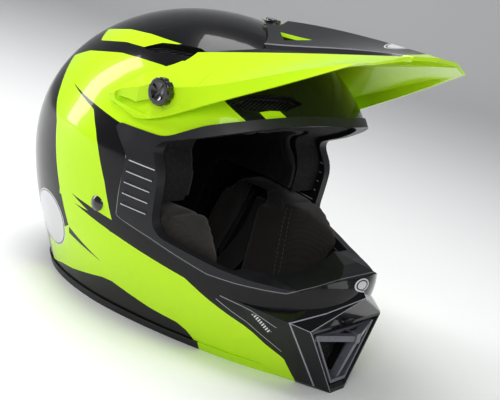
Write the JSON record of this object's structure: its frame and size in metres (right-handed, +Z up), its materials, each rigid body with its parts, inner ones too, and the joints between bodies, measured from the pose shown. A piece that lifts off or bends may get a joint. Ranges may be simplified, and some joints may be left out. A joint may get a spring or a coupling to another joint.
{
  "type": "motocross helmet",
  "caption": "Full-face off-road helmet with a tipping peak, faceted chin vent, rubber-edged eye port, foam and fabric lining, and a chin strap with rings.",
  "frame": {"origin": "on the ground under the middle of the helmet, standing on its base rim", "axes": "+Z up, the face looks along -Y, the wearer's left is +X"},
  "size_m": [0.2572, 0.3666, 0.279],
  "materials": {
    "shell_paint": "gloss clear coat over black and fluorescent yellow paint",
    "edge_rubber": "satin",
    "port_rubber": "satin",
    "grille_plastic": "satin grey paint",
    "vent_mesh": "matte",
    "peak_plastic": "gloss",
    "screw_plastic": "gloss",
    "washer_plastic": "matte",
    "insert_metal": "machined",
    "impact_foam": "beaded foam",
    "lining_fabric": "knitted mesh",
    "pad_fabric": "brushed knit and mesh",
    "pad_plate": "matte",
    "webbing": "woven",
    "ring_steel": "plated"
  },
  "bodies": {
    "helmet": {"outer_shell": "shell_paint", "base_trim": "edge_rubber", "eye_port_trim": "port_rubber", "chin_vent_grille": "grille_plastic", "chin_vent_mesh": "vent_mesh", "brow_vent_mesh_left": "vent_mesh", "brow_vent_mesh_right": "vent_mesh", "crown_vent_mesh_left": "vent_mesh", "crown_vent_mesh_right": "vent_mesh", "rear_vent_mesh_left": "vent_mesh", "rear_vent_mesh_right": "vent_mesh", "peak_insert_left": "insert_metal", "peak_insert_right": "insert_metal", "peak_insert_top": "insert_metal", "crown_liner": "impact_foam", "comfort_liner": "lining_fabric", "chin_liner": "impact_foam", "cheek_snaps_left": "pad_plate", "cheek_snaps_right": "pad_plate", "neck_roll": "pad_fabric", "strap_rivet_left": "ring_steel", "strap_hanger_left": "ring_steel", "strap_rivet_right": "ring_steel", "strap_hanger_right": "ring_steel"},
    "peak": {"peak": "peak_plastic"},
    "peak_screw_left": {"peak_screw_left": "screw_plastic", "peak_washer_left": "washer_plastic"},
    "peak_screw_right": {"peak_screw_right": "screw_plastic", "peak_washer_right": "washer_plastic"},
    "peak_screw_top": {"peak_screw_top": "screw_plastic"},
    "strap_left": {"strap_left": "webbing", "strap_snap_stud": "screw_plastic"},
    "strap_right": {"strap_right": "webbing"},
    "d_ring_inner": {"d_ring_inner": "ring_steel"},
    "d_ring_outer": {"d_ring_outer": "ring_steel"},
    "cheek_pad_left": {"cheek_pad_left": "pad_fabric", "cheek_pad_base_left": "pad_plate"},
    "cheek_pad_right": {"cheek_pad_right": "pad_fabric", "cheek_pad_base_right": "pad_plate"}
  },
  "joints": [
    {"name": "peak_tilt", "type": "hinge", "parent": "helmet", "child": "peak", "pos_m": [0, -0.0205, 0.2005], "axis": [1, 0, 0], "range_deg": [-5, 5]},
    {"name": "peak_screw_left_turn", "type": "hinge", "parent": "helmet", "child": "peak_screw_left", "pos_m": [0.115, -0.0205, 0.2005], "axis": [1, 0, 0], "continuous": true},
    {"name": "peak_screw_right_turn", "type": "hinge", "parent": "helmet", "child": "peak_screw_right", "pos_m": [-0.115, -0.0205, 0.2005], "axis": [-1, 0, 0], "continuous": true},
    {"name": "peak_screw_top_turn", "type": "hinge", "parent": "helmet", "child": "peak_screw_top", "pos_m": [0, -0.0205, 0.268], "axis": [0, 0, 1], "continuous": true},
    {"name": "strap_left_swing", "type": "hinge", "parent": "helmet", "child": "strap_left", "pos_m": [0.11044, 0.01, 0.084], "axis": [0, 1, 0], "range_deg": [0, 25]},
    {"name": "strap_right_swing", "type": "hinge", "parent": "helmet", "child": "strap_right", "pos_m": [-0.11044, 0.01, 0.084], "axis": [0, 1, 0], "range_deg": [-25, 0]},
    {"name": "d_ring_inner_swing", "type": "hinge", "parent": "strap_right", "child": "d_ring_inner", "pos_m": [-0.0605, 0.01, 0.049], "axis": [0, 1, 0], "range_deg": [0, 30]},
    {"name": "d_ring_outer_swing", "type": "hinge", "parent": "strap_right", "child": "d_ring_outer", "pos_m": [-0.054, 0.01, 0.047], "axis": [0, 1, 0], "range_deg": [-30, 0]},
    {"name": "cheek_pad_left_release", "type": "slide", "parent": "helmet", "child": "cheek_pad_left", "axis": [-1, 0, 0], "range_m": [0, 0.025]},
    {"name": "cheek_pad_right_release", "type": "slide", "parent": "helmet", "child": "cheek_pad_right", "axis": [1, 0, 0], "range_m": [0, 0.025]}
  ]
}
